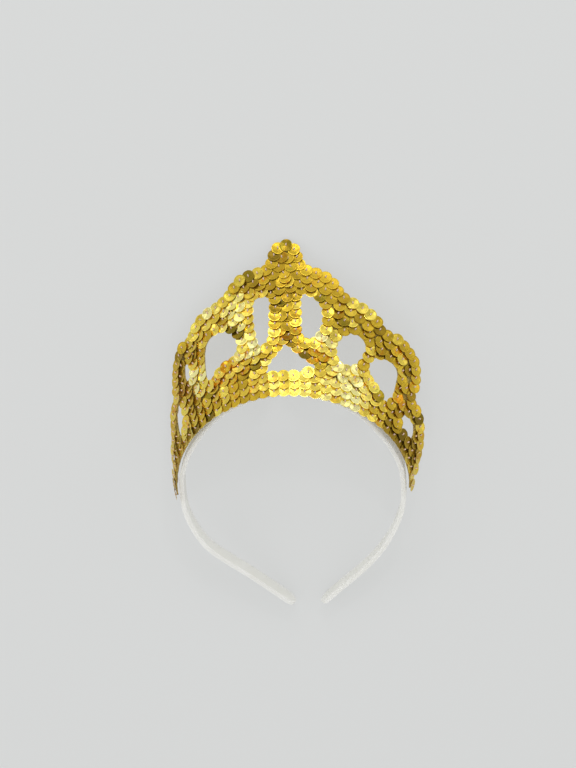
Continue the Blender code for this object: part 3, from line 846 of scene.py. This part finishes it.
verts = []
faces = []
for number in range(count):
    place, turned = sequin_place(number)
    lean = draw.gauss(0.0, STITCH_TURN)
    course = turned @ Vector((math.sin(lean), math.cos(lean), 0.0))
    out = turned @ Vector((0.0, 0.0, 1.0))
    line = []
    for step in range(STITCH_STEPS + 1):
        share = step / STITCH_STEPS
        rise = (STITCH_RISE * math.sin(math.pi * share) - STITCH_ROOT * (1.0 - share) ** 3
                + STITCH_END * share)
        line.append(place + (course * STITCH_LENGTH * share + out * rise) * MM)
    add_thread(verts, faces, line, out)
stitches = thread_piece("stitches", verts, faces, pale_thread)

verts = []
faces = []
for first, second in threads:
    line = []
    for step in range(BACK_STEPS + 1):
        share = step / BACK_STEPS
        across, up = first * (1.0 - share) + second * share
        dip = THREAD_RADIUS - BACK_DIP * abs(2.0 * share - 1.0) ** 4
        line.append(wall_point(across, up, CLOTH_BACK + closer(across) - dip))
    add_thread(verts, faces, line, wall_frame(*(0.5 * (first + second)))[3])
back_threads = thread_piece("threads_behind", verts, faces, pale_thread)

# Headband
# A moulded strip of white plastic, bent on edge to an open hoop, with softly rounded edges.
# Its front edge carries the cloth, and its two blunt ends turn in behind the wearer's head.
white_plastic, tree, shader = new_finish("white_plastic")
strip_place = add_node(tree, "TexCoord")
clouds = add_node(tree, "TexNoise", {"Scale": 60.0, "Detail": 3.0})
tree.links.new(strip_place.outputs["Object"], clouds.inputs["Vector"])
strip_colour = ramp_node(tree, clouds.outputs["Fac"],
                         [(0.3, (0.58, 0.58, 0.54)), (0.7, (0.62, 0.62, 0.59))])
tree.links.new(strip_colour.outputs["Color"], shader.inputs["Base Color"])
grain = add_node(tree, "TexNoise", {"Scale": 1500.0, "Detail": 3.0})
tree.links.new(strip_place.outputs["Object"], grain.inputs["Vector"])
strip_gloss = add_node(tree, "MapRange", {"To Min": 0.3, "To Max": 0.45})
tree.links.new(clouds.outputs["Fac"], strip_gloss.inputs["Value"])
tree.links.new(strip_gloss.outputs[0], shader.inputs["Roughness"])
strip_bump = add_node(tree, "Bump", {"Strength": 0.15, "Distance": 0.0001})
tree.links.new(grain.outputs["Fac"], strip_bump.inputs["Height"])
tree.links.new(strip_bump.outputs["Normal"], shader.inputs["Normal"])
shader.inputs["Subsurface Weight"].default_value = 0.8
shader.inputs["Subsurface Radius"].default_value = (1.0, 1.0, 0.96)
shader.inputs["Subsurface Scale"].default_value = 0.012
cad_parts["headband"].material_slots[0].material = white_plastic

# Floor and light
# A plain pale floor that shines a little by itself, and lamps behind and beside the tiara. The
# room round it is softly uneven, so that the film has something to mirror.
FLOOR_REACH = 3.0
LAMP_DISTANCE = 1.2
floor_mesh = bpy.data.meshes.new("floor")
corners = [(x * FLOOR_REACH, y * FLOOR_REACH, 0.0) for x, y in ((-1, -1), (1, -1), (1, 1), (-1, 1))]
floor_mesh.from_pydata(corners, [], [(0, 1, 2, 3)])
floor = bpy.data.objects.new("floor", floor_mesh)
bpy.context.scene.collection.objects.link(floor)
floor_finish, tree, shader = new_finish("floor_finish")
shader.inputs["Base Color"].default_value = (0.17, 0.17, 0.17, 1.0)
shader.inputs["Roughness"].default_value = 0.9
shader.inputs["Specular IOR Level"].default_value = 0.2
shader.inputs["Emission Color"].default_value = (0.98, 1.0, 0.99, 1.0)
shader.inputs["Emission Strength"].default_value = 0.5
floor_mesh.materials.append(floor_finish)

world = bpy.data.worlds.new("studio")
world.use_nodes = True
tree = world.node_tree
room = tree.nodes["Background"]
direction = add_node(tree, "TexCoord")
unevenness = add_node(tree, "TexNoise", {"Scale": 2.6, "Detail": 1.0})
tree.links.new(direction.outputs["Generated"], unevenness.inputs["Vector"])
room_light = ramp_node(tree, unevenness.outputs["Fac"],
                       [(0.36, (0.42, 0.41, 0.40)), (0.49, (0.85, 0.85, 0.85)),
                        (0.63, (1.5, 1.5, 1.5))])
ray = add_node(tree, "LightPath")
seen = add_node(tree, "Mix", {7: (0.78, 0.79, 0.79, 1.0)}, data_type="RGBA")
tree.links.new(ray.outputs["Is Camera Ray"], seen.inputs["Factor"])
tree.links.new(room_light.outputs["Color"], seen.inputs[6])
tree.links.new(seen.outputs[2], room.inputs["Color"])
bpy.context.scene.world = world

for name, azimuth, elevation, width, power in (("lamp_behind", -6.0, 28.0, 0.24, 1.1),
                                               ("lamp_right", 60.0, 28.0, 0.3, 0.6),
                                               ("lamp_left", -70.0, 30.0, 0.5, 1.2),
                                               ("lamp_small", 14.0, 42.0, 0.1, 1.4)):
    lamp = bpy.data.lights.new(name, "AREA")
    lamp.size = width
    lamp.energy = power
    around = math.radians(azimuth)
    above = math.radians(elevation)
    away = Vector((math.sin(around) * math.cos(above), math.cos(around) * math.cos(above),
                   math.sin(above)))
    lamp_object = bpy.data.objects.new(name, lamp)
    lamp_object.location = away * LAMP_DISTANCE
    lamp_object.rotation_euler = away.to_track_quat("Z", "Y").to_euler()
    bpy.context.scene.collection.objects.link(lamp_object)

# Bring the scene up to date
bpy.context.view_layer.update()
